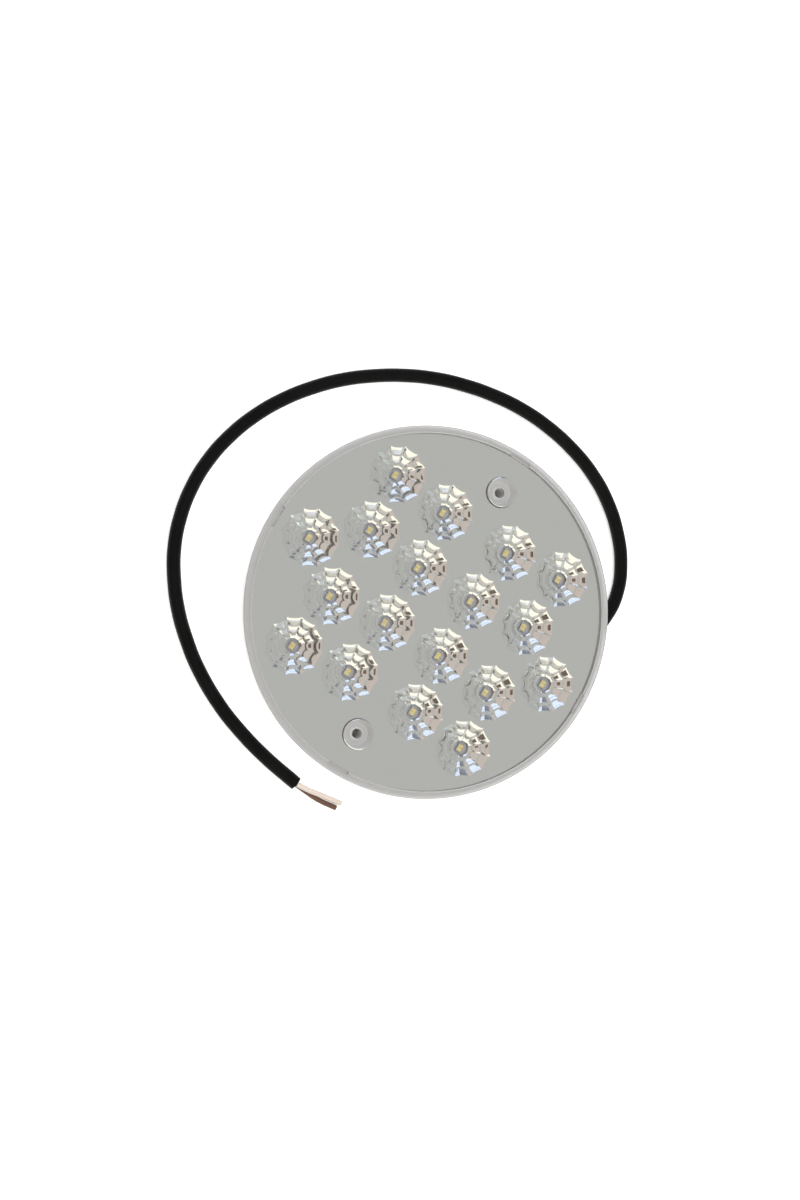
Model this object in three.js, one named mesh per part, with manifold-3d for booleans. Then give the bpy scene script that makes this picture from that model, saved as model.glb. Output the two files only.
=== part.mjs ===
// A round, sealed, surface-mounted LED light with a short two-core lead.
// Millimetres, +Z up. The light lies on its back: z = 0 is the mounting face, +Z is the way it shines.
// The origin is the centre of the back. The two screw holes lie on the Y axis.
import * as THREE from "three";
import { mergeVertices } from "three/addons/utils/BufferGeometryUtils.js";
import Module from "manifold-3d";

const wasm = await Module();
wasm.setup();

// ---------------------------------------------------------------- driving dimensions
const GAP = 0.3; // between separate pieces that touch on the real light
const ROUND = 72; // sides of the large round pieces
const DEG = Math.PI / 180;

const LENS_RADIUS = 75;
const HEIGHT = 20; // back of the skirt to the front of the lens
const LENS_THICKNESS = 2;
const RIM_DROP = 1; // the lens rim lies this much below the raised front face
const RIM_WIDTH = 2.2;
const RIM_UNDER = 16.5; // underside of the lens's outer wall

const CAVITY = 8; // depth of the wiring space in the back
const FLOOR = 1.8;
const RIB_DEPTH = 2;
const RIB_ANGLES = [67.5, 112.5, 157.5, 202.5, 247.5, 292.5, 337.5]; // none crosses the cord
const SKIRT_RADIUS = 70.5;
const SKIRT_WALL = 2;
const FLANGE_RADIUS = 74.4; // the housing's lip, just inside the lens's edge

const BOARD_THICKNESS = 1.2;
const BOARD_UNDER = CAVITY + FLOOR + 0.8;
const BOARD_TOP = BOARD_UNDER + BOARD_THICKNESS;
const BOARD_RADIUS = 68.8;

const PLATE_RADIUS = 71.8; // the mirrored reflector plate
const PLATE_THICKNESS = 1.2;
const PLATE_TOP = HEIGHT - LENS_THICKNESS - GAP;
const CUP_DEPTH = 5;
const CUP_MOUTH = 11.5; // radius to the corners of the twelve-sided mouth
const CUP_HOLE = 2.9;
const CUP_SIDES = 12;
const CUP_WALL = 1;

const SCREW_RADIUS = 56.8; // centre of the light to each screw hole
const SCREW_HOLE = 2;
const WELL_DEPTH = 4; // countersunk well in the lens for the screw's head
const WELL_MOUTH = 5.9;
const WELL_FLOOR = 4.3;
const WELL_WALL = 1;
const WELL_FLOOR_THICKNESS = 1.5;

const LED = { length: 3.5, width: 2.8, height: 1.5 };
const LED_RINGS = [
  { radius: 18.3, count: 4, start: 45 },
  { radius: 40.7, count: 8, start: 22.5 },
  { radius: SCREW_RADIUS, count: 8, start: 0 }, // two of these eight places are the screw holes
];

const CORD_RADIUS = 2.8;
const CORD_LIES = CORD_RADIUS + 0.05; // height of its centre where it lies on the mounting surface
const CORD_HEIGHT_INSIDE = 4; // height of the cord's centre in its cradle
const CORE_RADIUS = 1.05;
const CORD_ANGLE = 15; // direction of the cord's inlet, seen from the front
const RELIEF_END = 30; // mouth of the strain relief, from the centre

// ---------------------------------------------------------------- materials
const paint = (color, roughness, metalness = 0, more = {}) =>
  new THREE.MeshStandardMaterial({ color, roughness, metalness, ...more });
const CLEAR = paint(0xeef2f2, 0.05, 0, { transparent: true, opacity: 0.3 });
const MIRROR = paint(0xd6d7d4, 0.08, 1);
const HOUSING = paint(0xdcdcda, 0.45);
const BOARD = paint(0xc9cbc8, 0.5);
const LED_BODY = paint(0xe4e2d4, 0.5);
const RUBBER = paint(0x141414, 0.7);
const SEAL = paint(0x8c8f90, 0.8);
const STEEL = paint(0x9a9c9e, 0.3, 1);
const CHIP = paint(0x26272a, 0.5);
const RESISTOR = paint(0x1c1f26, 0.4);
const TANTALUM = paint(0xc99a3a, 0.5);
const RESIN = paint(0x2b2b2b, 0.35);
const BROWN = paint(0x573627, 0.5);
const WHITE = paint(0xd8cfc8, 0.5);

// ---------------------------------------------------------------- helpers
const lamp = new THREE.Group();

function mesh(name, geometry, material, parent = lamp) {
  const made = new THREE.Mesh(geometry, material);
  made.name = name;
  parent.add(made);
  return made;
}

// A closed geometry as a manifold-3d solid.
function solid(geometry) {
  const bare = (geometry.index ? geometry.toNonIndexed() : geometry).clone();
  bare.deleteAttribute("normal");
  bare.deleteAttribute("uv");
  const merged = mergeVertices(bare, 1e-4);
  return new wasm.Manifold(
    new wasm.Mesh({
      numProp: 3,
      vertProperties: merged.attributes.position.array,
      triVerts: new Uint32Array(merged.index.array),
    }),
  );
}

function geometryOf(shape) {
  const { vertProperties, triVerts } = shape.getMesh();
  return new THREE.BufferGeometry()
    .setAttribute("position", new THREE.BufferAttribute(vertProperties, 3))
    .setIndex(new THREE.BufferAttribute(triVerts, 1));
}

const joined = (...shapes) => shapes.reduce((sum, shape) => sum.add(shape));
const cut = (shape, ...tools) => tools.reduce((rest, tool) => rest.subtract(tool), shape);

// A profile of [radius, z] pairs turned about the Z axis. It runs anticlockwise, with r to the right and z up.
function turned(profile, sides = ROUND) {
  const points = profile.map(([r, z]) => new THREE.Vector2(r, z));
  return new THREE.LatheGeometry(points, sides).rotateX(Math.PI / 2);
}

// A closed profile, such as a ring's: its first point is repeated at the end.
const ring = (profile, sides = ROUND) => turned([...profile, profile[0]], sides);

function cylinder(radius, low, high, sides = 24) {
  return new THREE.CylinderGeometry(radius, radius, high - low, sides)
    .rotateX(Math.PI / 2)
    .translate(0, 0, (low + high) / 2);
}

function box(from, to) {
  const size = to.map((end, axis) => end - from[axis]);
  return new THREE.BoxGeometry(...size).translate(...to.map((end, axis) => (end + from[axis]) / 2));
}

// A ring of round section, such as a seal.
function seal(radius, thickness, z, sides, sectionSides) {
  const section = Array.from({ length: sectionSides }, (_, i) => {
    const turn = (2 * Math.PI * i) / sectionSides;
    return [radius + thickness * Math.cos(turn), z + thickness * Math.sin(turn)];
  });
  return ring(section, sides);
}

// A round tube along a curve.
function tube(curve, radius, steps, sides) {
  const section = new THREE.Shape();
  for (let i = 0; i < sides; i++) {
    const turn = (2 * Math.PI * i) / sides;
    const place = [radius * Math.cos(turn), radius * Math.sin(turn)];
    if (i === 0) section.moveTo(...place);
    else section.lineTo(...place);
  }
  return new THREE.ExtrudeGeometry(section, { steps, bevelEnabled: false, extrudePath: curve });
}

const through = (points) =>
  new THREE.CatmullRomCurve3(
    points.map((point) => new THREE.Vector3(...point)),
    false,
    "catmullrom",
    0.5,
  );

const polar = (radius, degrees) => [radius * Math.cos(degrees * DEG), radius * Math.sin(degrees * DEG)];

const ledPlaces = LED_RINGS.flatMap(({ radius, count, start }) =>
  Array.from({ length: count }, (_, i) => start + (360 / count) * i)
    .filter((angle) => radius !== SCREW_RADIUS || (angle !== 90 && angle !== 270))
    .map((angle) => polar(radius, angle)),
);
const screwPlaces = [
  [0, SCREW_RADIUS],
  [0, -SCREW_RADIUS],
];
const boardScrewPlaces = [90, 210, 330].map((angle) => polar(29, angle));

// ---------------------------------------------------------------- front lens
const wellFloorTop = HEIGHT - WELL_DEPTH;
const wellUnder = wellFloorTop - WELL_FLOOR_THICKNESS;
const lensUnder = HEIGHT - LENS_THICKNESS;

function frontLens() {
  const rimTop = HEIGHT - RIM_DROP;
  const stepFoot = LENS_RADIUS - RIM_WIDTH;
  const wallInside = PLATE_RADIUS + 0.6;
  const edge = 0.5; // softened outer edges
  let shape = solid(
    turned([
      [0, lensUnder],
      [wallInside, lensUnder],
      [wallInside, RIM_UNDER],
      [LENS_RADIUS - edge, RIM_UNDER],
      [LENS_RADIUS, RIM_UNDER + edge],
      [LENS_RADIUS, rimTop - edge],
      [LENS_RADIUS - edge, rimTop],
      [stepFoot, rimTop],
      [stepFoot - RIM_DROP, HEIGHT],
      [0, HEIGHT],
    ]),
  );
  for (const [x, y] of screwPlaces) {
    const wellOutside = solid(
      turned(
        [
          [0, wellUnder],
          [WELL_FLOOR + WELL_WALL, wellUnder],
          [WELL_MOUTH + WELL_WALL - 0.2, lensUnder + 0.5],
          [0, lensUnder + 0.5],
        ],
        32,
      ).translate(x, y, 0),
    );
    const wellInside = solid(
      turned(
        [
          [0, wellFloorTop],
          [WELL_FLOOR, wellFloorTop],
          [WELL_MOUTH, HEIGHT + 0.1],
          [0, HEIGHT + 0.1],
        ],
        32,
      ).translate(x, y, 0),
    );
    const hole = solid(cylinder(SCREW_HOLE, wellUnder - 1, HEIGHT).translate(x, y, 0));
    shape = cut(joined(shape, wellOutside), wellInside, hole);
  }
  // Four short notches across the step of the rim, on the X and Y axes.
  for (const angle of [0, 90, 180, 270]) {
    const notch = box([stepFoot - 1.3, -4.5, rimTop - 0.6], [stepFoot + 0.1, 4.5, HEIGHT + 1]);
    shape = cut(shape, solid(notch.rotateZ(angle * DEG)));
  }
  return geometryOf(shape);
}

// ---------------------------------------------------------------- reflector plate with its cups
const CUP_TIERS = [
  // [radius to the corners, depth below the plate's face] of each step of the cup
  [CUP_MOUTH, 0],
  [8.2, 1.7],
  [4.9, 3.5],
  [CUP_HOLE, CUP_DEPTH],
];

function reflectorPlate() {
  const plateUnder = PLATE_TOP - PLATE_THICKNESS;
  const halfSide = Math.PI / CUP_SIDES;
  const inside = CUP_TIERS.map(([r, depth]) => [r, PLATE_TOP - depth]);
  const bottom = PLATE_TOP - CUP_DEPTH;
  const facetTurn = Math.PI / 2 + halfSide; // puts a facet's middle on each axis
  const cupBody = turned(
    [
      [0, bottom],
      [CUP_HOLE + CUP_WALL, bottom],
      [CUP_MOUTH + CUP_WALL, PLATE_TOP - 0.4],
      [0, PLATE_TOP - 0.4],
    ],
    CUP_SIDES,
  ).rotateZ(facetTurn);
  const cupSpace = turned(
    [
      [0, bottom - 1],
      [CUP_HOLE, bottom - 1],
      ...inside.slice().reverse(),
      [CUP_MOUTH, PLATE_TOP + 1],
      [0, PLATE_TOP + 1],
    ],
    CUP_SIDES,
  ).rotateZ(facetTurn);
  let shape = solid(cylinder(PLATE_RADIUS, plateUnder, PLATE_TOP, ROUND));
  for (const [x, y] of ledPlaces) shape = joined(shape, solid(cupBody.clone().translate(x, y, 0)));
  for (const [x, y] of ledPlaces) shape = cut(shape, solid(cupSpace.clone().translate(x, y, 0)));
  for (const [x, y] of screwPlaces) {
    shape = cut(shape, solid(cylinder(WELL_MOUTH + WELL_WALL + GAP, 0, HEIGHT, 32).translate(x, y, 0)));
  }
  return geometryOf(shape);
}

// ---------------------------------------------------------------- circuit board and what is on it
const leadPlaces = [
  [-8, 1.9],
  [-8, -1.9],
];

function circuitBoard() {
  const hole = (x, y, radius, sides) =>
    solid(cylinder(radius, BOARD_UNDER - 1, BOARD_TOP + 1, sides).translate(x, y, 0));
  let shape = solid(cylinder(BOARD_RADIUS, BOARD_UNDER, BOARD_TOP, ROUND));
  for (const [x, y] of screwPlaces) shape = cut(shape, hole(x, y, 5.6, 24));
  for (const [x, y] of boardScrewPlaces) shape = cut(shape, hole(x, y, 1.5, 12));
  const turn = CORD_ANGLE * DEG;
  for (const [x, y] of leadPlaces) {
    const place = new THREE.Vector2(x, y).rotateAround(new THREE.Vector2(), turn);
    shape = cut(shape, hole(place.x, place.y, CORE_RADIUS + GAP, 12));
  }
  return geometryOf(shape);
}

// A box with a chamfered top, such as a moulded package, standing on the board.
function packageBody(length, width, height, chamfer) {
  const low = [length / 2, width / 2];
  const high = [length / 2 - chamfer, width / 2 - chamfer];
  const outline = (half, z) => [
    [-half[0], -half[1], z],
    [half[0], -half[1], z],
    [half[0], half[1], z],
    [-half[0], half[1], z],
  ];
  const layers = [outline(low, 0), outline(low, height - chamfer), outline(high, height)];
  const faces = [0, 2, 1, 0, 3, 2, 8, 9, 10, 8, 10, 11];
  for (const level of [0, 4]) {
    for (let i = 0; i < 4; i++) {
      const a = level + i;
      const b = level + ((i + 1) % 4);
      faces.push(a, b, b + 4, a, b + 4, a + 4);
    }
  }
  return new THREE.BufferGeometry()
    .setAttribute("position", new THREE.Float32BufferAttribute(layers.flat(2), 3))
    .setIndex(faces);
}

function onBoard(name, [x, y], degrees, size, material) {
  const made = mesh(name, packageBody(size.length, size.width, size.height, size.chamfer ?? 0.2), material);
  made.position.set(x, y, BOARD_TOP + 0.05);
  made.rotation.z = degrees * DEG;
}

function boardParts() {
  ledPlaces.forEach((place, i) => {
    onBoard(`led_${String(i + 1).padStart(2, "0")}`, place, 90, LED, LED_BODY);
  });
  const regulator = { length: 4.5, width: 2.5, height: 1.5 };
  const resistor = { length: 3.2, width: 1.6, height: 0.6, chamfer: 0.1 };
  for (let i = 0; i < 6; i++) {
    onBoard(`current_regulator_${i + 1}`, polar(29.5, 60 * i), 60 * i, regulator, CHIP);
    onBoard(`ballast_resistor_${i + 1}`, polar(29.5, 60 * i + 16), 60 * i + 16, resistor, RESISTOR);
  }
  onBoard("bridge_rectifier", [4, 0], 0, { length: 8.5, width: 6.4, height: 3 }, CHIP);
  onBoard("surge_diode", [0, 8.5], 0, { length: 4.6, width: 3.6, height: 2.3 }, CHIP);
  onBoard("smoothing_capacitor", [0, -8.5], 0, { length: 7.3, width: 4.3, height: 2.8 }, TANTALUM);
}

function boardScrew() {
  const head = { radius: 2.2, height: 1.3 };
  const shank = { radius: 1.1, length: 5.2 };
  const headUnder = BOARD_TOP + 0.1;
  const profile = [
    [0, headUnder - shank.length],
    [shank.radius - 0.4, headUnder - shank.length],
    [shank.radius, headUnder - shank.length + 0.8],
    [shank.radius, headUnder],
    [head.radius, headUnder],
    [head.radius, headUnder + head.height * 0.55],
    [head.radius * 0.6, headUnder + head.height],
    [0, headUnder + head.height],
  ];
  const slot = (length, width) =>
    solid(box([-length, -width, headUnder + 0.6], [length, width, headUnder + head.height + 1]));
  return geometryOf(cut(solid(turned(profile, 16)), slot(1.2, 0.25), slot(0.25, 1.2)));
}

// ---------------------------------------------------------------- housing
const bossTop = wellUnder - 0.6;

function housing() {
  const floorTop = CAVITY + FLOOR;
  const wallTop = PLATE_TOP - PLATE_THICKNESS - GAP;
  const lipTop = RIM_UNDER - 0.4;
  const groove = { inner: 72.7, outer: 74.1, floor: lipTop - 1 };
  let shape = solid(
    turned([
      [0, CAVITY],
      [SKIRT_RADIUS - SKIRT_WALL - 0.3, CAVITY],
      [SKIRT_RADIUS - SKIRT_WALL, 0],
      [SKIRT_RADIUS - 0.4, 0],
      [SKIRT_RADIUS, 0.4],
      [SKIRT_RADIUS + 0.7, 12.8],
      [FLANGE_RADIUS - 0.3, 13.9],
      [FLANGE_RADIUS, 14.4],
      [FLANGE_RADIUS, lipTop],
      [groove.outer, lipTop],
      [groove.outer, groove.floor],
      [groove.inner, groove.floor],
      [groove.inner, lipTop],
      [PLATE_RADIUS, lipTop],
      [PLATE_RADIUS, wallTop],
      [69.6, wallTop],
      [69.6, floorTop],
      [0, floorTop],
    ]),
  );
  const post = (x, y, radius, low, high, sides) => solid(cylinder(radius, low, high, sides).translate(x, y, 0));
  for (const angle of RIB_ANGLES) {
    const rib = box([20, -0.75, CAVITY - RIB_DEPTH], [SKIRT_RADIUS - 1, 0.75, CAVITY + 0.5]);
    shape = joined(shape, solid(rib.rotateZ(angle * DEG)));
  }
  // Screw bosses run from the mounting face up to the wells of the lens.
  for (const [x, y] of screwPlaces) {
    const sealSeat = solid(
      ring(
        [
          [2.75, bossTop - 0.9],
          [4.25, bossTop - 0.9],
          [4.25, bossTop + 1],
          [2.75, bossTop + 1],
        ],
        24,
      ).translate(x, y, 0),
    );
    shape = joined(shape, post(x, y, 5.2, 0, bossTop, 24));
    shape = cut(shape, post(x, y, SCREW_HOLE, -1, bossTop + 1, 24), sealSeat);
  }
  // Posts that the board's screws bite into.
  for (const [x, y] of boardScrewPlaces) {
    shape = joined(shape, post(x, y, 2.8, CAVITY - RIB_DEPTH, BOARD_UNDER - GAP, 16));
    shape = cut(shape, post(x, y, 1.4, CAVITY - RIB_DEPTH + 0.4, BOARD_UNDER + 1, 12));
  }
  // The cradle that the strain relief is pressed up into, and the hole that the cores go up through.
  const turn = CORD_ANGLE * DEG;
  const cradle = box([-2, -6, 1], [14, 6, CAVITY + 0.5]).rotateZ(turn);
  const channel = cylinder(RELIEF.seat + GAP, -10, 20, 24)
    .rotateY(Math.PI / 2)
    .translate(0, 0, CORD_HEIGHT_INSIDE)
    .rotateZ(turn);
  const mouth = box([-10, -RELIEF.seat - 0.1, -1], [20, RELIEF.seat + 0.1, CORD_HEIGHT_INSIDE]).rotateZ(turn);
  const cradleShape = cut(solid(cradle), solid(channel), solid(mouth));
  const leadHole = box([-10.2, -4, CAVITY - 1], [-5.8, 4, floorTop + 1]).rotateZ(turn);
  shape = cut(joined(shape, cradleShape), solid(leadHole));
  // The notch in the skirt where the cord runs out, square to the cord.
  const notch = box([-7, -CORD_RADIUS - 0.8, -1], [7, CORD_RADIUS + 0.8, 6.6])
    .rotateZ(NOTCH.heading * DEG)
    .translate(...NOTCH.place, 0);
  return geometryOf(cut(shape, solid(notch)));
}

// ---------------------------------------------------------------- strain relief, leads and cord
const RELIEF = { seat: 3.2, collar: 3.8, tail: 3.15 };
const NOTCH = { place: [64.4, 26.2], heading: 53 };

// Moulded onto the jacket: a collar on each side of the cradle, then a tapered tail with flex grooves.
function strainRelief() {
  const taperStart = 16;
  const grooves = 4;
  const pitch = (RELIEF_END - taperStart) / (grooves + 1);
  const radiusAt = (x) =>
    THREE.MathUtils.mapLinear(x, taperStart, RELIEF_END, RELIEF.collar - 0.1, RELIEF.tail);
  const tail = [];
  for (let i = 1; i <= grooves; i++) {
    const x = taperStart + i * pitch;
    const deep = radiusAt(x) - 0.4;
    tail.push([radiusAt(x - 0.6), x - 0.6], [deep, x - 0.35], [deep, x + 0.35], [radiusAt(x + 0.6), x + 0.6]);
  }
  return turned(
    [
      [0, -4],
      [RELIEF.collar, -4],
      [RELIEF.collar, -2 - GAP],
      [RELIEF.seat, -2 - GAP],
      [RELIEF.seat, 14 + GAP],
      [RELIEF.collar, 14 + GAP],
      [RELIEF.collar, taperStart],
      ...tail,
      [RELIEF.tail, RELIEF_END],
      [0, RELIEF_END],
    ],
    20,
  ).rotateY(Math.PI / 2);
}

function sealingPlug() {
  const [low, high] = [CAVITY - 0.6, CAVITY + FLOOR - 0.1];
  let shape = solid(box([-9.9, -3.7, low], [-6.1, 3.7, high]));
  for (const [x, y] of leadPlaces) {
    shape = cut(shape, solid(cylinder(CORE_RADIUS + GAP, low - 1, high + 1, 12).translate(x, y, 0)));
  }
  return geometryOf(shape);
}

function innerLead(side) {
  const z = CORD_HEIGHT_INSIDE;
  const path = through([
    [-4.3, 1.15 * side, z],
    [-6, 1.3 * side, z + 0.4],
    [-7.5, 1.6 * side, z + 1.6],
    [-8, 1.9 * side, z + 3.6],
    [-8, 1.9 * side, z + 6],
    [-8, 1.9 * side, BOARD_TOP + 1],
  ]);
  return tube(path, CORE_RADIUS, 12, 8);
}

// The cord lies on the surface the light stands on, from the strain relief round to its cut end.
const cordRoute = [
  [29.3, 7.9, 4],
  [35.0, 9.4, 3.8],
  [41.5, 11.1, 3.4],
  [48.0, 13.4, 3.0],
  [55.0, 17.2, CORD_LIES],
  [62.0, 23.0, CORD_LIES],
  [67.0, 30.5, CORD_LIES],
  [69.3, 40.5, CORD_LIES],
  [68.4, 51.0, CORD_LIES],
  [63.3, 62.8, CORD_LIES],
  [54.9, 73.4, CORD_LIES],
  [44.5, 82.1, CORD_LIES],
  [32.5, 88.6, CORD_LIES],
  [19.6, 92.7, CORD_LIES],
  [6.2, 94.8, CORD_LIES],
  [-7.2, 95.0, CORD_LIES],
  [-20.4, 93.3, CORD_LIES],
  [-33.1, 90.1, CORD_LIES],
  [-45.2, 85.6, CORD_LIES],
  [-56.7, 79.6, CORD_LIES],
  [-67.4, 72.4, CORD_LIES],
  [-77.3, 64.1, CORD_LIES],
  [-86.0, 54.6, CORD_LIES],
  [-93.6, 44.0, CORD_LIES],
  [-99.7, 32.4, CORD_LIES],
  [-104.0, 20.0, CORD_LIES],
  [-106.3, 7.2, CORD_LIES],
  [-106.3, -5.9, CORD_LIES],
  [-104.0, -18.6, CORD_LIES],
  [-99.5, -30.6, CORD_LIES],
  [-93.0, -41.4, CORD_LIES],
  [-85.2, -51.1, CORD_LIES],
  [-76.3, -59.4, CORD_LIES],
  [-66.7, -66.6, CORD_LIES],
  [-51.5, -74.9, CORD_LIES],
  [-39.4, -79.5, CORD_LIES],
  [-25.0, -83.4, CORD_LIES],
  [-8.5, -86.3, CORD_LIES],
];

// Two cores stand out of the cut jacket. White lies over brown at first, then beside it.
const whiteRoute = [
  [-8.2, -86.3, 3.95],
  [-3.0, -86.0, 3.4],
  [3.0, -85.2, 2.5],
  [12.0, -84.0, 1.4],
];
const brownRoute = [
  [-8.2, -86.6, 1.65],
  [-3.0, -87.1, 1.3],
  [3.0, -87.4, 1.1],
  [11.2, -86.6, 1.1],
];

// ---------------------------------------------------------------- assembly
mesh("base_housing", housing(), HOUSING);
mesh("circuit_board", circuitBoard(), BOARD);
boardParts();
boardScrewPlaces.forEach(([x, y], i) => {
  mesh(`board_screw_${i + 1}`, boardScrew(), STEEL).position.set(x, y, 0);
});
mesh("reflector_plate", reflectorPlate(), MIRROR);
mesh("front_lens", frontLens(), CLEAR);
mesh("lens_seal", seal(73.4, 0.45, RIM_UNDER - 0.75, ROUND, 5), SEAL);
screwPlaces.forEach(([x, y], i) => {
  mesh(`boss_seal_${i + 1}`, seal(3.5, 0.42, bossTop - 0.15, 20, 6), SEAL).position.set(x, y, 0);
});

const inlet = new THREE.Group();
inlet.rotation.z = CORD_ANGLE * DEG;
lamp.add(inlet);
mesh("strain_relief", strainRelief(), RUBBER, inlet).position.z = CORD_HEIGHT_INSIDE;
mesh("sealing_plug", sealingPlug(), RESIN, inlet);
mesh("inner_lead_brown", innerLead(1), BROWN, inlet);
mesh("inner_lead_white", innerLead(-1), WHITE, inlet);

mesh("cord_jacket", tube(through(cordRoute), CORD_RADIUS, 52, 10), RUBBER);
mesh("core_white", tube(through(whiteRoute), CORE_RADIUS, 8, 8), WHITE);
mesh("core_brown", tube(through(brownRoute), CORE_RADIUS, 8, 8), BROWN);

export default lamp;
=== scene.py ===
"""The looks of a round surface-mounted LED light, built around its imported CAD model.

Shapes are worked out in millimetres and turned into metres as each piece is placed.
+Z is the way the light shines, and the two screw holes lie on the Y axis.
"""
import math

import bmesh
import bpy
from mathutils import Matrix, Vector


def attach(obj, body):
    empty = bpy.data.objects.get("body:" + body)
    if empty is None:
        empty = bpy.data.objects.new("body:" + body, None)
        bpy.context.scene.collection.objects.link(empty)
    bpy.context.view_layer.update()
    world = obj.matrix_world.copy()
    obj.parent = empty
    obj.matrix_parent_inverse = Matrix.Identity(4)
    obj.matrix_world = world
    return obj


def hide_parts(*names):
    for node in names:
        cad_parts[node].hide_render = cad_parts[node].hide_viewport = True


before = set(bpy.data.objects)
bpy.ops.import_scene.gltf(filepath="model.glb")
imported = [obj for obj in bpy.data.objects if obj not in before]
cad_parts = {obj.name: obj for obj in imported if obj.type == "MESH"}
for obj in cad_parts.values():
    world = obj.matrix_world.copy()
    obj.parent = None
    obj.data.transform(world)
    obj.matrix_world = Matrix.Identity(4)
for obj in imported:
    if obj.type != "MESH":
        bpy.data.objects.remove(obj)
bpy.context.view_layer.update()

MM = 0.001
scene = bpy.context.scene


# ------------------------------------------------------------------ camera
def add_camera():
    eye = Vector((-0.1117, -0.0713, 0.5855))
    target = Vector((-0.0134, -0.0026, 0.0200))
    up = Vector((-0.5221, 0.8528, 0.0129))
    data = bpy.data.cameras.new("camera")
    data.lens = 43.5
    data.sensor_width = 36
    camera = bpy.data.objects.new("camera", data)
    look = (target - eye).normalized()
    side = look.cross(up).normalized()
    turn = Matrix((side, side.cross(look), -look)).transposed().to_4x4()
    camera.matrix_world = Matrix.Translation(eye) @ turn
    scene.collection.objects.link(camera)
    scene.camera = camera


add_camera()

# ------------------------------------------------------------------ sizes, in millimetres
HEIGHT = 20
LENS_RADIUS = 75
LENS_THICKNESS = 2
RIM_DROP = 1
RIM_WIDTH = 2.2
RIM_UNDER = 16.5
PLATE_RADIUS = 71.8
PLATE_EDGE = PLATE_RADIUS + 0.45  # the mirror as it shows, close up to the lens's inner wall
PLATE_TOP = HEIGHT - LENS_THICKNESS - 0.3
PLATE_THICKNESS = 1
SCREW_RADIUS = 56.8
SCREW_HOLE = 2
WELL_DEPTH = 4
WELL_MOUTH = 5.9
WELL_FLOOR = 4.3
WELL_FLOOR_THICKNESS = 1.5
WELL_WALL = 0.45
CAVITY = 8
FLOOR_TOP = 9.8
BOARD_TOP = 11.8
SKIRT_RADIUS = 70.5
SKIRT_WALL = 2
INNER_WALL = 69.6  # where the board's space ends
SEAL_GROOVE = (72.7, 74.1)
FLANGE_RADIUS = 74.4
BOSS_RADIUS = 5.2
BOSS_TOP = HEIGHT - WELL_DEPTH - WELL_FLOOR_THICKNESS - 0.6
BOSS_SEAL_GROOVE = (2.75, 4.25)
BOARD_POST_RADIUS = 2.8
BOARD_POST_TOP = 10.3
CORD_RADIUS = 2.8
CORD_LIES = CORD_RADIUS + 0.05
CORE_RADIUS = 1.05
CORD_ANGLE = 15
CORD_HEIGHT_INSIDE = 4
SIDES = 192

screw_places = [(0, SCREW_RADIUS), (0, -SCREW_RADIUS)]


def polar(radius, degrees):
    return radius * math.cos(math.radians(degrees)), radius * math.sin(math.radians(degrees))


led_places = [polar(18.3, 45 + 90 * i) for i in range(4)]
led_places += [polar(40.7, 22.5 + 45 * i) for i in range(8)]
led_places += [polar(SCREW_RADIUS, 45 * i) for i in range(8) if i not in (2, 6)]
board_screw_places = [polar(29, angle) for angle in (90, 210, 330)]


# ------------------------------------------------------------------ material helpers
def new_material(name, colour, roughness, **sockets):
    """A Principled material. Returns the material, its node tree and its shader."""
    material = bpy.data.materials.new(name)
    material.use_nodes = True
    shader = material.node_tree.nodes["Principled BSDF"]
    shader.inputs["Base Color"].default_value = (*colour, 1)
    shader.inputs["Roughness"].default_value = roughness
    for socket, value in sockets.items():
        shader.inputs[socket.replace("_", " ")].default_value = value
    return material, material.node_tree, shader


def noise(tree, scale, detail=3, roughness=0.5):
    """Noise in the object's own space, in metres. Returns its factor socket."""
    nodes = tree.nodes
    place = nodes.new("ShaderNodeTexCoord")
    made = nodes.new("ShaderNodeTexNoise")
    made.inputs["Scale"].default_value = scale
    made.inputs["Detail"].default_value = detail
    made.inputs["Roughness"].default_value = roughness
    tree.links.new(place.outputs["Object"], made.inputs["Vector"])
    return made.outputs["Fac"]


def ranged(tree, source, low, high):
    """source from 0 to 1 stretched to low to high."""
    made = tree.nodes.new("ShaderNodeMapRange")
    made.inputs["From Min"].default_value = 0.3
    made.inputs["From Max"].default_value = 0.7
    made.inputs["To Min"].default_value = low
    made.inputs["To Max"].default_value = high
    tree.links.new(source, made.inputs["Value"])
    return made.outputs["Result"]


def vary_colour(tree, shader, source, first, second):
    ramp = tree.nodes.new("ShaderNodeValToRGB")
    ramp.color_ramp.elements[0].position = 0.35
    ramp.color_ramp.elements[0].color = (*first, 1)
    ramp.color_ramp.elements[1].position = 0.65
    ramp.color_ramp.elements[1].color = (*second, 1)
    tree.links.new(source, ramp.inputs["Fac"])
    tree.links.new(ramp.outputs["Color"], shader.inputs["Base Color"])


def add_bump(tree, shader, source, height, strength=1.0):
    """Bump of that height in metres."""
    made = tree.nodes.new("ShaderNodeBump")
    made.inputs["Distance"].default_value = height
    made.inputs["Strength"].default_value = strength
    tree.links.new(source, made.inputs["Height"])
    tree.links.new(made.outputs["Normal"], shader.inputs["Normal"])


def moulded(name, first, second, roughness, grain=9000, height=0.00001, spots=60, **sockets):
    """Moulded plastic or rubber: slow colour change, uneven gloss and a fine grain."""
    material, tree, shader = new_material(name, first, roughness, **sockets)
    slow = noise(tree, spots)
    vary_colour(tree, shader, slow, first, second)
    tree.links.new(
        ranged(tree, noise(tree, spots * 6), roughness - 0.05, roughness + 0.07),
        shader.inputs["Roughness"],
    )
    add_bump(tree, shader, noise(tree, grain, 2), height)
    return material


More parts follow.
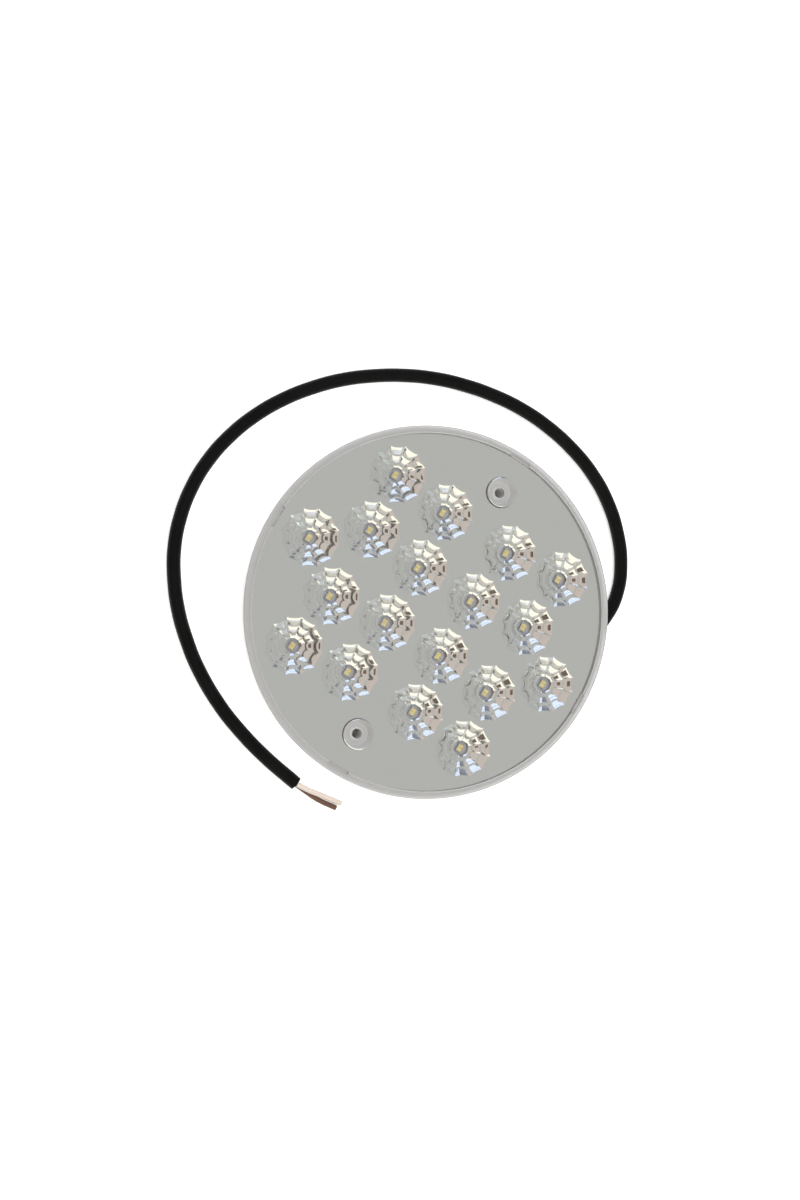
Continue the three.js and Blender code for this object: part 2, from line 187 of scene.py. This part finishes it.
def clear_plastic(name, roughness, clear):
    """clear is 1 for plain clear plastic, and less where the mould left it milky."""
    colour = (0.985, 0.992, 0.99) if clear == 1 else (0.62, 0.62, 0.615)
    material, tree, shader = new_material(name, colour, roughness)
    shader.inputs["Transmission Weight"].default_value = clear
    shader.inputs["IOR"].default_value = 1.49
    add_bump(tree, shader, noise(tree, 45, 2), 0.00002, 0.35)
    if clear == 1:
        let_lamps_through(tree, shader)
    return material


def let_lamps_through(tree, shader):
    """Lets the light of lamps through clear plastic, onto what lies behind it."""
    lamp = tree.nodes.new("ShaderNodeLightPath").outputs["Is Shadow Ray"]
    through = tree.nodes.new("ShaderNodeBsdfTransparent")
    through.inputs["Color"].default_value = (0.9, 0.9, 0.9, 1)
    both = tree.nodes.new("ShaderNodeMixShader")
    tree.links.new(lamp, both.inputs[0])
    tree.links.new(shader.outputs[0], both.inputs[1])
    tree.links.new(through.outputs[0], both.inputs[2])
    tree.links.new(both.outputs[0], tree.nodes["Material Output"].inputs["Surface"])


def mirror_metal():
    material, tree, shader = new_material("mirror", (0.9, 0.9, 0.885), 0.03, Metallic=1)
    tree.links.new(ranged(tree, noise(tree, 120), 0.005, 0.02), shader.inputs["Roughness"])
    add_bump(tree, shader, noise(tree, 160, 2), 0.00001, 0.5)
    return material


def brushed_metal():
    material, tree, shader = new_material("zinc_steel", (0.6, 0.6, 0.61), 0.3, Metallic=1)
    tree.links.new(ranged(tree, noise(tree, 2500), 0.22, 0.42), shader.inputs["Roughness"])
    add_bump(tree, shader, noise(tree, 4000), 0.00001, 0.4)
    return material


CLEAR = clear_plastic("clear_lens", 0.0, 1)
MILKY = clear_plastic("milky_edges", 0.35, 0.5)
PALE = clear_plastic("pale_wells", 0.4, 0.15)
MIRROR = mirror_metal()
STEEL = brushed_metal()
HOUSING = moulded("housing_plastic", (0.76, 0.76, 0.745), (0.8, 0.8, 0.785), 0.42)
# The board's solder mask is pale; this mid-grey is painted shade from the deep cup holes above it.
BOARD_PAINTED_SHADE = moulded("board_mask_painted_shade", (0.44, 0.44, 0.46), (0.48, 0.48, 0.50), 0.4, grain=2500)
# The LED package is pale; this grey is painted shade from the cup hole it sits at the bottom of.
LED_BODY_PAINTED_SHADE = moulded("led_body", (0.34, 0.34, 0.37), (0.40, 0.40, 0.42), 0.4)
PHOSPHOR = moulded("led_phosphor", (0.62, 0.50, 0.17), (0.74, 0.64, 0.30), 0.45, spots=900)
JACKET = moulded("cord_rubber", (0.002, 0.002, 0.002), (0.0035, 0.0035, 0.0035), 0.5, grain=5000,
                 Specular_IOR_Level=0.12)
RELIEF = moulded("relief_rubber", (0.008, 0.008, 0.008), (0.014, 0.014, 0.014), 0.6, grain=4000)
SEAL = moulded("seal_rubber", (0.2, 0.2, 0.2), (0.26, 0.26, 0.26), 0.7)
CHIP = moulded("chip_resin", (0.02, 0.02, 0.022), (0.03, 0.03, 0.032), 0.5)
RESISTOR = moulded("resistor_glaze", (0.012, 0.013, 0.018), (0.02, 0.02, 0.026), 0.3)
TANTALUM = moulded("capacitor_resin", (0.6, 0.36, 0.06), (0.66, 0.42, 0.1), 0.4)
RESIN = moulded("potting_resin", (0.012, 0.012, 0.012), (0.02, 0.02, 0.02), 0.28, grain=700)
BROWN = moulded("brown_core", (0.10, 0.052, 0.034), (0.13, 0.068, 0.045), 0.42)
WHITE = moulded("white_core", (0.60, 0.52, 0.46), (0.66, 0.59, 0.53), 0.42)


# ------------------------------------------------------------------ mesh helpers, in millimetres
def as_object(name, bm):
    bmesh.ops.recalc_face_normals(bm, faces=bm.faces)
    mesh = bpy.data.meshes.new(name)
    bm.to_mesh(mesh)
    bm.free()
    made = bpy.data.objects.new(name, mesh)
    scene.collection.objects.link(made)
    return made


def softened(points, steps=5):
    """A profile whose points may carry a third number, the radius that rounds their corner."""
    made = []
    for i, point in enumerate(points):
        corner = Vector(point[:2])
        if len(point) < 3:
            made.append(corner)
            continue
        before = (Vector(points[i - 1][:2]) - corner).normalized()
        after = (Vector(points[(i + 1) % len(points)][:2]) - corner).normalized()
        reach = point[2] / math.tan(before.angle(after) / 2)
        start, end = corner + before * reach, corner + after * reach
        for step in range(steps + 1):
            t = step / steps
            made.append(start * (1 - t) ** 2 + corner * 2 * t * (1 - t) + end * t**2)
    return made


def lathe(name, points, sides=SIDES, centre=(0, 0)):
    """The closed shape that a profile of (radius, z) sweeps about an axis along Z."""
    bm = bmesh.new()
    rings = []
    for radius, z in softened(points):
        if radius < 1e-6:
            rings.append([bm.verts.new((*centre, z))])
            continue
        places = [polar(radius, 360 * i / sides) for i in range(sides)]
        rings.append([bm.verts.new((centre[0] + x, centre[1] + y, z)) for x, y in places])
    for low, high in zip(rings, rings[1:] + rings[:1]):
        for i in range(sides):
            corners = [low[i % len(low)], low[(i + 1) % len(low)]]
            corners += [high[(i + 1) % len(high)], high[i % len(high)]]
            corners = list(dict.fromkeys(corners))
            if len(corners) > 2:
                bm.faces.new(corners)
    return as_object(name, bm)


def block(name, low, high, turn=0, move=(0, 0, 0), soften=0.0):
    """A box, turned about Z by degrees and then moved."""
    bm = bmesh.new()
    bmesh.ops.create_cube(bm, size=1)
    size = Vector(high) - Vector(low)
    middle = (Vector(high) + Vector(low)) / 2
    grow = Matrix.Translation(middle) @ Matrix.Diagonal((*size, 1))
    place = Matrix.Translation(move) @ Matrix.Rotation(math.radians(turn), 4, "Z")
    bmesh.ops.transform(bm, matrix=grow, verts=bm.verts)
    if soften:
        bmesh.ops.bevel(bm, geom=bm.edges[:], offset=soften, segments=3, affect="EDGES", profile=0.5)
    bmesh.ops.transform(bm, matrix=place, verts=bm.verts)
    return as_object(name, bm)


def combine(piece, operation, tools):
    """Joins tools to the piece (UNION) or cuts them from it (DIFFERENCE)."""
    for tool in tools:
        modifier = piece.modifiers.new("combine", "BOOLEAN")
        modifier.operation = operation
        modifier.solver = "EXACT"
        modifier.object = tool
        shown = piece.evaluated_get(bpy.context.evaluated_depsgraph_get())
        mesh = bpy.data.meshes.new_from_object(shown)
        piece.modifiers.clear()
        piece.data = mesh
        bpy.data.objects.remove(tool)
    return piece


def finish_piece(piece, material, replaced=(), crease=30, weighted=False):
    """Puts a piece into metres, shades it, and ties it to the CAD model."""
    piece.data.transform(Matrix.Scale(MM, 4))
    piece.data.materials.clear()
    piece.data.materials.append(material)
    piece.data.shade_smooth()
    piece.data.set_sharp_from_angle(angle=math.radians(crease))
    if weighted:
        piece.modifiers.new("weighted_normals", "WEIGHTED_NORMAL").keep_sharp = True
    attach(piece, "root")
    if replaced:
        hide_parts(*replaced)
    return piece


def wire(name, points, radius, material, replaced, resolution=8):
    """A round cord or core through points, as a curve with flat cut ends."""
    data = bpy.data.curves.new(name, "CURVE")
    data.dimensions = "3D"
    data.bevel_depth = radius * MM
    data.bevel_resolution = 8
    data.resolution_u = resolution
    data.use_fill_caps = True
    spline = data.splines.new("BEZIER")
    spline.bezier_points.add(len(points) - 1)
    for knot, point in zip(spline.bezier_points, points):
        knot.co = Vector(point) * MM
        knot.handle_left_type = knot.handle_right_type = "AUTO"
    data.materials.append(material)
    made = bpy.data.objects.new(name, data)
    scene.collection.objects.link(made)
    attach(made, "root")
    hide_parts(*replaced)
    return made


# ------------------------------------------------------------------ cord and cores
# From the strain relief, under the skirt, and round the light to the cut end.
cord_route = [
    (29.3, 7.9, 4),
    (35.0, 9.4, 3.8),
    (41.5, 11.1, 3.4),
    (48.0, 13.4, 3.0),
    (55.0, 17.2, CORD_LIES),
    (62.0, 23.0, CORD_LIES),
    (67.0, 30.5, CORD_LIES),
    (69.3, 40.5, CORD_LIES),
    (68.4, 51.0, CORD_LIES),
    (63.3, 62.8, CORD_LIES),
    (54.9, 73.4, CORD_LIES),
    (44.5, 82.1, CORD_LIES),
    (32.5, 88.6, CORD_LIES),
    (19.6, 92.7, CORD_LIES),
    (6.2, 94.8, CORD_LIES),
    (-7.2, 95.0, CORD_LIES),
    (-20.4, 93.3, CORD_LIES),
    (-33.1, 90.1, CORD_LIES),
    (-45.2, 85.6, CORD_LIES),
    (-56.7, 79.6, CORD_LIES),
    (-67.4, 72.4, CORD_LIES),
    (-77.3, 64.1, CORD_LIES),
    (-86.0, 54.6, CORD_LIES),
    (-93.6, 44.0, CORD_LIES),
    (-99.7, 32.4, CORD_LIES),
    (-104.0, 20.0, CORD_LIES),
    (-106.3, 7.2, CORD_LIES),
    (-106.3, -5.9, CORD_LIES),
    (-104.0, -18.6, CORD_LIES),
    (-99.5, -30.6, CORD_LIES),
    (-93.0, -41.4, CORD_LIES),
    (-85.2, -51.1, CORD_LIES),
    (-76.3, -59.4, CORD_LIES),
    (-66.7, -66.6, CORD_LIES),
    (-51.5, -74.9, CORD_LIES),
    (-39.4, -79.5, CORD_LIES),
    (-25.0, -83.4, CORD_LIES),
    (-8.5, -86.3, CORD_LIES),
]
white_route = [(-8.2, -86.3, 3.95), (-3.0, -86.0, 3.4), (3.0, -85.2, 2.5), (12.0, -84.0, 1.4)]
brown_route = [(-8.2, -86.6, 1.65), (-3.0, -87.1, 1.3), (3.0, -87.4, 1.1), (11.2, -86.6, 1.1)]

cord = wire("cord", cord_route, CORD_RADIUS, JACKET, ["cord_jacket"])
white = wire("white_core_end", white_route, CORE_RADIUS, WHITE, ["core_white"])
brown = wire("brown_core_end", brown_route, CORE_RADIUS, BROWN, ["core_brown"])


# ------------------------------------------------------------------ lens
def make_lens():
    """The clear front, with its stepped rim, two screw wells and four notches."""
    rim_top = HEIGHT - RIM_DROP
    step_foot = LENS_RADIUS - RIM_WIDTH
    lens_under = HEIGHT - LENS_THICKNESS
    wall_inside = PLATE_RADIUS + 0.6
    well_floor = HEIGHT - WELL_DEPTH
    well_under = well_floor - WELL_FLOOR_THICKNESS
    lens = lathe(
        "clear_front_lens",
        [
            (0, lens_under),
            (wall_inside, lens_under, 0.15),
            (wall_inside, RIM_UNDER, 0.1),
            (LENS_RADIUS, RIM_UNDER, 0.35),
            (LENS_RADIUS, rim_top, 0.45),
            (step_foot, rim_top, 0.15),
            (step_foot - RIM_DROP, HEIGHT, 0.3),
            (0, HEIGHT),
        ],
        sides=256,
    )
    outsides, insides = [], []
    for centre in screw_places:
        cup = [(0, well_under), (WELL_FLOOR + 0.8, well_under, 0.3)]
        cup += [(WELL_MOUTH + WELL_WALL, lens_under + 0.5), (0, lens_under + 0.5)]
        outsides.append(lathe("well_outside", cup, 64, centre))
        space = [(0, well_floor), (WELL_FLOOR, well_floor, 0.3), (WELL_MOUTH - 0.1, HEIGHT - 0.3)]
        space += [(WELL_MOUTH + 0.25, HEIGHT + 0.01), (WELL_MOUTH + 0.25, HEIGHT + 1), (0, HEIGHT + 1)]
        insides.append(lathe("well_inside", space, 64, centre))
        hole = [(0, well_under - 1), (SCREW_HOLE, well_under - 1)]
        hole += [(SCREW_HOLE, well_floor + 1), (0, well_floor + 1)]
        insides.append(lathe("screw_hole", hole, 48, centre))
    combine(lens, "UNION", outsides)
    notch_depth = 1.3
    notch_low = (step_foot - notch_depth, -4.5, rim_top - 0.6)
    notch_high = (step_foot + 0.1, 4.5, HEIGHT + 1)
    notches = [block("notch", notch_low, notch_high, angle) for angle in (0, 90, 180, 270)]
    combine(lens, "DIFFERENCE", insides + notches)
    finish_piece(lens, CLEAR, ["front_lens"], crease=35, weighted=True)
    lens.data.materials.append(MILKY)
    lens.data.materials.append(PALE)
    for face in lens.data.polygons:
        face.material_index = lens_material(face, well_floor, step_foot - notch_depth - 0.1)


def lens_material(face, well_floor, edge_radius):
    """0 where the lens is clear, 1 on its edge and the floors of the wells, 2 on their walls."""
    x, y, z = face.center / MM
    off_axis = math.hypot(x, abs(y) - SCREW_RADIUS)
    if off_axis < WELL_MOUTH + 0.1 and well_floor - 0.1 < z < HEIGHT - 0.2:
        return 2 if face.normal.z < 0.9 else 1
    return 1 if math.hypot(x, y) > edge_radius and z < HEIGHT - 0.05 else 0


# ------------------------------------------------------------------ reflector plate
CUP_RADII = (11.8, 8.7, 5.2, 3.15)
CUP_DEPTHS = (0, 1.66, 3.2, 3.75)
SECTORS = 12
SECTOR = 360 / SECTORS
ACROSS = 8  # divisions of a facet, across and down
DOWN = 8
SCALLOP = (0.42, 0.36, 0.22, 0.04)  # how far each edge curves inwards between two sector borders
ROLL = (1.0, 0.9, 0)  # how much shallower each facet is at its outer edge
TUCK = (0, 0.6, 1.2)  # how much steeper it is at its inner edge
BEND = 4  # the power of these curves: the higher, the nearer to the edges they bend


def cup_point(tier, across, down, sector):
    """A point of a cup: across and down run from 0 to 1 over one facet of that tier."""
    sideways = 2 * across - 1
    half = math.radians(SECTOR / 2)
    sag = 1 - sideways**BEND

    def radius(edge):
        straight = CUP_RADII[edge] * math.cos(half) / math.cos(sideways * half)
        return straight - SCALLOP[edge] * sag

    outer, inner = radius(tier), radius(tier + 1)
    roll, tuck = ROLL[tier] / BEND, TUCK[tier] / BEND
    fall = (1 + roll - tuck) * down - roll * (1 - (1 - down) ** BEND) + tuck * down**BEND
    z = -CUP_DEPTHS[tier] - (CUP_DEPTHS[tier + 1] - CUP_DEPTHS[tier]) * fall
    x, y = polar(outer + (inner - outer) * down, SECTOR * (sector + sideways / 2))
    return x, y, z


def add_facets(bm):
    """The facets of every cup. Returns the vertex pairs of the edges between facets."""
    corners = {}

    def vertex(cup, tier, across_step, down_step, sector):
        """The vertex at a place, shared by the facets that meet there."""
        if down_step == DOWN:
            tier, down_step = tier + 1, 0
        if across_step == ACROSS:
            sector, across_step = (sector + 1) % SECTORS, 0
        key = (cup, tier, down_step, sector, across_step)
        if key not in corners:
            if tier == len(CUP_RADII) - 1:
                x, y, z = cup_point(tier - 1, across_step / ACROSS, 1, sector)
            else:
                x, y, z = cup_point(tier, across_step / ACROSS, down_step / DOWN, sector)
            centre = led_places[cup]
            corners[key] = bm.verts.new((x + centre[0], y + centre[1], z + PLATE_TOP))
        return corners[key]

    creases = set()
    for cup in range(len(led_places)):
        for tier in range(len(CUP_RADII) - 1):
            for sector in range(SECTORS):
                for i in range(ACROSS):
                    for j in range(DOWN):
                        steps = [(i, j), (i + 1, j), (i + 1, j + 1), (i, j + 1)]
                        quad = [vertex(cup, tier, a, d, sector) for a, d in steps]
                        bm.faces.new(quad)
                        if i == 0:
                            creases.add(frozenset((quad[0], quad[3])))
                        if j == 0:
                            creases.add(frozenset((quad[0], quad[1])))
    return creases


def fill_plate(bm):
    """The flat part round the cups and the wells. Returns the edges that bound it."""
    rims = [edge for edge in bm.edges if edge.is_boundary and edge.verts[0].co.z > PLATE_TOP - 0.1]
    circles = [((0, 0), PLATE_EDGE, SIDES)]
    circles += [(centre, WELL_MOUTH + WELL_WALL, 64) for centre in screw_places]
    for centre, radius, sides in circles:
        places = [polar(radius, 360 * i / sides) for i in range(sides)]
        ring = [bm.verts.new((centre[0] + x, centre[1] + y, PLATE_TOP)) for x, y in places]
        rims += [bm.edges.new((ring[i], ring[(i + 1) % sides])) for i in range(sides)]
    bmesh.ops.triangle_fill(bm, use_beauty=True, use_dissolve=False, edges=rims)
    return rims


def make_reflector():
    bm = bmesh.new()
    creases = add_facets(bm)
    rims = fill_plate(bm)
    for face in bm.faces:
        face.smooth = True
    bmesh.ops.recalc_face_normals(bm, faces=bm.faces)
    borders = set(rims) | {edge for edge in bm.edges if edge.is_boundary}
    for edge in bm.edges:
        edge.smooth = edge not in borders and frozenset(edge.verts) not in creases
    mesh = bpy.data.meshes.new("mirror_reflector")
    bm.to_mesh(mesh)
    bm.free()
    if sum(face.normal.z for face in mesh.polygons) < 0:
        mesh.flip_normals()
    mesh.transform(Matrix.Scale(MM, 4))
    mesh.materials.append(MIRROR)
    plate = bpy.data.objects.new("mirror_reflector", mesh)
    scene.collection.objects.link(plate)
    shell = plate.modifiers.new("thickness", "SOLIDIFY")
    shell.thickness = PLATE_THICKNESS * MM
    shell.offset = -1
    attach(plate, "root")
    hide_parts("reflector_plate")
    return plate


# ------------------------------------------------------------------ LEDs
def make_led(index, place):
    """A moulded package with two dies under a phosphor window."""
    foot = Vector((*place, BOARD_TOP + 0.05))
    body = block("led_package", (-1.4, -1.75, 0), (1.4, 1.75, 1.5), soften=0.12)
    window = block("window", (-1.05, -1.45, 1.3), (1.05, 1.45, 2), soften=0.2)
    combine(body, "DIFFERENCE", [window])
    body.name = f"led_package_{index:02d}"
    body.data.transform(Matrix.Translation(foot))
    finish_piece(body, LED_BODY_PAINTED_SHADE, [f"led_{index:02d}"])
    for side in (-1, 1):
        die = block("die", (-0.98, -0.66, 1.25), (0.98, 0.66, 1.45), soften=0.08)
        die.name = f"led_phosphor_{index:02d}_{'a' if side < 0 else 'b'}"
        die.data.transform(Matrix.Translation(foot + Vector((0, 0.72 * side, 0))))
        finish_piece(die, PHOSPHOR)


# ------------------------------------------------------------------ housing
def make_housing():
    wall_top = PLATE_TOP - 1.5
    lip_top = RIM_UNDER - 0.4
    groove_inside, groove_outside = SEAL_GROOVE
    housing = lathe(
        "moulded_housing",
        [
            (0, CAVITY),
            (SKIRT_RADIUS - SKIRT_WALL - 0.3, CAVITY, 0.5),
            (SKIRT_RADIUS - SKIRT_WALL, 0, 0.2),
            (SKIRT_RADIUS, 0, 0.4),
            (SKIRT_RADIUS + 0.7, 12.8, 0.5),
            (FLANGE_RADIUS, 14.1, 0.4),
            (FLANGE_RADIUS, lip_top, 0.15),
            (groove_outside, lip_top),
            (groove_outside, lip_top - 1),
            (groove_inside, lip_top - 1),
            (groove_inside, lip_top),
            (PLATE_RADIUS, lip_top),
            (PLATE_RADIUS, wall_top),
            (INNER_WALL, wall_top),
            (INNER_WALL, FLOOR_TOP, 0.4),
            (0, FLOOR_TOP),
        ],
    )
    ribs = [
        block("rib", (20, -0.75, CAVITY - 2), (SKIRT_RADIUS - 1, 0.75, CAVITY + 0.5), angle)
        for angle in (67.5, 112.5, 157.5, 202.5, 247.5, 292.5, 337.5)
    ]
    posts, holes = screw_posts()
    cradle, cord_cuts = cord_way()
    combine(housing, "UNION", ribs + posts + [cradle])
    combine(housing, "DIFFERENCE", holes + cord_cuts)
    return finish_piece(housing, HOUSING, ["base_housing"], crease=35, weighted=True)


def screw_posts():
    """The bosses and posts that the screws go into, and the holes to cut in them."""
    posts, holes = [], []
    seal_inside, seal_outside = BOSS_SEAL_GROOVE
    groove_foot = BOSS_TOP - 0.9
    for centre in screw_places:
        boss = [(0, 0), (BOSS_RADIUS, 0, 0.3), (BOSS_RADIUS, BOSS_TOP, 0.25), (0, BOSS_TOP)]
        posts.append(lathe("boss", boss, 64, centre))
        bore = [(0, -1), (SCREW_HOLE, -1), (SCREW_HOLE, BOSS_TOP + 1), (0, BOSS_TOP + 1)]
        holes.append(lathe("bore", bore, 48, centre))
        groove = [(seal_inside, groove_foot), (seal_outside, groove_foot)]
        groove += [(seal_outside, BOSS_TOP + 1), (seal_inside, BOSS_TOP + 1)]
        holes.append(lathe("seat", groove, 64, centre))
    for centre in board_screw_places:
        post = [(0, CAVITY - 2), (BOARD_POST_RADIUS, CAVITY - 2, 0.3)]
        post += [(BOARD_POST_RADIUS, BOARD_POST_TOP), (0, BOARD_POST_TOP)]
        posts.append(lathe("post", post, 48, centre))
        pilot = [(0, CAVITY - 1.6), (1.4, CAVITY - 1.6), (1.4, 12), (0, 12)]
        holes.append(lathe("pilot", pilot, 32, centre))
    return posts, holes


def cord_way():
    """The cradle of the strain relief, and what is cut for the relief, the leads and the cord."""
    cradle = block("cradle", (-2, -6, 1), (14, 6, CAVITY + 0.5), CORD_ANGLE, soften=0.3)
    channel = lathe("channel", [(0, -10), (3.5, -10), (3.5, 20), (0, 20)], 48)
    turn = Matrix.Rotation(math.radians(CORD_ANGLE), 4, "Z") @ Matrix.Rotation(math.pi / 2, 4, "Y")
    channel.data.transform(Matrix.Translation((0, 0, CORD_HEIGHT_INSIDE)) @ turn)
    mouth = block("mouth", (-10, -3.3, -1), (20, 3.3, CORD_HEIGHT_INSIDE), CORD_ANGLE)
    lead_hole = block("lead_hole", (-10.2, -4, CAVITY - 1), (-5.8, 4, FLOOR_TOP + 1), CORD_ANGLE)
    notch_half = CORD_RADIUS + 0.8
    notch = block("notch", (-7, -notch_half, -1), (7, notch_half, 6.6), 53, (64.4, 26.2, 0))
    return cradle, [channel, mouth, lead_hole, notch]


make_lens()
make_reflector()
for number, led_place in enumerate(led_places, 1):
    make_led(number, led_place)
make_housing()


# ------------------------------------------------------------------ CAD pieces that stay
def dress(prefix, material, soften=0.0):
    """Gives every CAD piece whose name starts so its material, and soft edges."""
    for name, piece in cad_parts.items():
        if not name.startswith(prefix) or piece.hide_render:
            continue
        piece.data.materials.clear()
        piece.data.materials.append(material)
        if soften:
            bevel = piece.modifiers.new("soft_edges", "BEVEL")
            bevel.width = soften * MM
            bevel.segments = 2
            bevel.limit_method = "ANGLE"
            bevel.angle_limit = math.radians(40)


dress("circuit_board", BOARD_PAINTED_SHADE)
dress("board_screw", STEEL)
dress("lens_seal", SEAL)
dress("boss_seal", SEAL)
dress("strain_relief", RELIEF)
dress("sealing_plug", RESIN)
dress("inner_lead_brown", BROWN)
dress("inner_lead_white", WHITE)
dress("current_regulator", CHIP)
dress("ballast_resistor", RESISTOR)
dress("bridge_rectifier", CHIP)
dress("surge_diode", CHIP)
dress("smoothing_capacitor", TANTALUM)


# ------------------------------------------------------------------ floor and light
FLOOR_GLOW = 0.4
FLOOR_HALF_WIDTH = 2
FLOOR_GAP = 0.0003


def make_floor():
    """Plain white paper, lit from below outside the light, so that no shadow greys it."""
    bm = bmesh.new()
    bmesh.ops.create_grid(bm, x_segments=1, y_segments=1, size=FLOOR_HALF_WIDTH)
    mesh = bpy.data.meshes.new("floor")
    bm.to_mesh(mesh)
    bm.free()
    floor = bpy.data.objects.new("floor", mesh)
    floor.location.z = -FLOOR_GAP
    scene.collection.objects.link(floor)
    material, tree, shader = new_material("floor_paper", (0.9, 0.9, 0.9), 0.8)
    place = tree.nodes.new("ShaderNodeTexCoord")
    away = tree.nodes.new("ShaderNodeVectorMath")
    away.operation = "LENGTH"
    tree.links.new(place.outputs["Object"], away.inputs[0])
    glow = tree.nodes.new("ShaderNodeMapRange")
    glow.inputs["From Min"].default_value = SKIRT_RADIUS * MM
    glow.inputs["From Max"].default_value = LENS_RADIUS * MM
    glow.inputs["To Max"].default_value = FLOOR_GLOW
    tree.links.new(away.outputs["Value"], glow.inputs["Value"])
    tree.links.new(glow.outputs["Result"], shader.inputs["Emission Strength"])
    shader.inputs["Emission Color"].default_value = (1, 1, 1, 1)
    mesh.materials.append(material)


# The light around is a grey room, dark low down, with soft-edged bands of light and shade in it.
# Its zenith leans, so that a facet's slope alone says how low in the room the camera sees by it.
LEAN = 12.5
LEAN_AXIS = Vector((*polar(1, 121), 0))
ROOM_LEAN = Matrix.Rotation(math.radians(LEAN), 3, LEAN_AXIS)
ROOM = (0.50, 0.50, 0.485)
LOW_ROOM = (0.05, 0.038, 0.03)
LOW_ROOM_TOP = 18  # its elevation in degrees
BACKDROP = (0.93, 0.93, 0.93)
SIDE_BLUR = 0.02  # half of how wide a band's sides fade, as a tangent of bearing
EDGE_BLUR = 0.01  # and its upper and lower edge, as a sine of elevation
# Each band has the bearing of its middle, its half width, its lowest and highest elevation in
# degrees, and its colour.
BANDS = [
    (31, 70, 60, 63, (0.30, 0.30, 0.29)),
    (-160, 42, 18, 62, (0.66, 0.57, 0.52)),
    (-151, 6, 28, 48, (0.13, 0.08, 0.055)),
    (-84, 41, 18, 28, (0.66, 0.63, 0.56)),
    (-84, 41, 26, 62, (1.35, 1.28, 1.1)),
    (-35, 10, 22, 60, (0.62, 0.66, 0.68)),
    (-59, 12, 26, 36, (0.85, 0.9, 1.0)),
    (-111, 6, 20, 44, (0.13, 0.085, 0.055)),
    (134, 18, 25, 60, (1.0, 1.15, 1.5)),
    (106, 9, 26, 60, (0.2, 0.21, 0.26)),
    (130, 30, 41, 43, (0.10, 0.14, 0.22)),
]


def sky_direction(bearing, elevation):
    """Bearing in degrees from +X, and elevation above the room's horizon."""
    x, y = polar(math.cos(math.radians(elevation)), bearing)
    return ROOM_LEAN @ Vector((x, y, math.sin(math.radians(elevation))))


class Sky:
    """The nodes of the world's colour by direction."""

    def __init__(self, tree):
        self.tree = tree
        self.place = tree.nodes.new("ShaderNodeTexCoord").outputs["Generated"]
        self.rise = self.along(sky_direction(0, 90))

    def along(self, direction):
        made = self.tree.nodes.new("ShaderNodeVectorMath")
        made.operation = "DOT_PRODUCT"
        made.inputs[1].default_value = direction
        self.tree.links.new(self.place, made.inputs[0])
        return made.outputs["Value"]

    def calculate(self, operation, first, second=None):
        made = self.tree.nodes.new("ShaderNodeMath")
        made.operation = operation
        self.tree.links.new(first, made.inputs[0])
        if second is not None:
            self.tree.links.new(second, made.inputs[1])
        return made.outputs["Value"]

    def fade(self, source, full, end):
        """1 at full, 0 at end, and smooth between them."""
        made = self.tree.nodes.new("ShaderNodeMapRange")
        made.interpolation_type = "SMOOTHSTEP"
        made.inputs["From Min"].default_value = full
        made.inputs["From Max"].default_value = end
        made.inputs["To Min"].default_value = 1
        made.inputs["To Max"].default_value = 0
        self.tree.links.new(source, made.inputs["Value"])
        return made.outputs["Result"]

    def band(self, bearing, half_width, lowest, highest):
        """1 inside a band, 0 outside it."""
        ahead = self.along(sky_direction(bearing, 0))
        across = self.along(sky_direction(bearing + 90, 0))
        aside = self.calculate("ABSOLUTE", self.calculate("DIVIDE", across, ahead))
        reach = math.tan(math.radians(half_width))
        low, high = math.sin(math.radians(lowest)), math.sin(math.radians(highest))
        shape = self.fade(ahead, 0.02, 0.01)
        for limit in (
            self.fade(aside, reach - SIDE_BLUR, reach + SIDE_BLUR),
            self.fade(self.rise, low + EDGE_BLUR, low - EDGE_BLUR),
            self.fade(self.rise, high - EDGE_BLUR, high + EDGE_BLUR),
        ):
            shape = self.calculate("MULTIPLY", shape, limit)
        return shape

    def mixed(self, factor, first, second):
        made = self.tree.nodes.new("ShaderNodeMix")
        made.data_type = "RGBA"
        self.tree.links.new(factor, made.inputs["Factor"])
        for socket, colour in (("A", first), ("B", second)):
            if isinstance(colour, tuple):
                made.inputs[socket].default_value = (*colour, 1)
            else:
                self.tree.links.new(colour, made.inputs[socket])
        return made.outputs["Result"]


def make_world():
    """What mirrors and clear parts show, behind a plain backdrop for the camera."""
    world = bpy.data.worlds.new("room")
    scene.world = world
    world.use_nodes = True
    sky = Sky(world.node_tree)
    turn = math.sin(math.radians(LOW_ROOM_TOP))
    colour = sky.mixed(sky.fade(sky.rise, turn - EDGE_BLUR, turn + EDGE_BLUR), ROOM, LOW_ROOM)
    for *shape, tint in BANDS:
        colour = sky.mixed(sky.band(*shape), colour, tint)
    seen = world.node_tree.nodes.new("ShaderNodeLightPath").outputs["Is Camera Ray"]
    colour = sky.mixed(seen, colour, BACKDROP)
    world.node_tree.links.new(colour, world.node_tree.nodes["Background"].inputs["Color"])


def add_overhead():
    """A big soft light overhead. Mirrors and the lens don't show it."""
    data = bpy.data.lights.new("overhead", "AREA")
    data.shape = "DISK"
    data.size = 1.2
    data.energy = 14
    light = bpy.data.objects.new("overhead", data)
    light.location = (0.1, 0.1, 1.2)
    light.visible_glossy = False
    light.visible_transmission = False
    scene.collection.objects.link(light)


make_floor()
make_world()
add_overhead()

scene.view_settings.view_transform = "Standard"
scene.cycles.max_bounces = 16
scene.cycles.glossy_bounces = 10
scene.cycles.transmission_bounces = 12
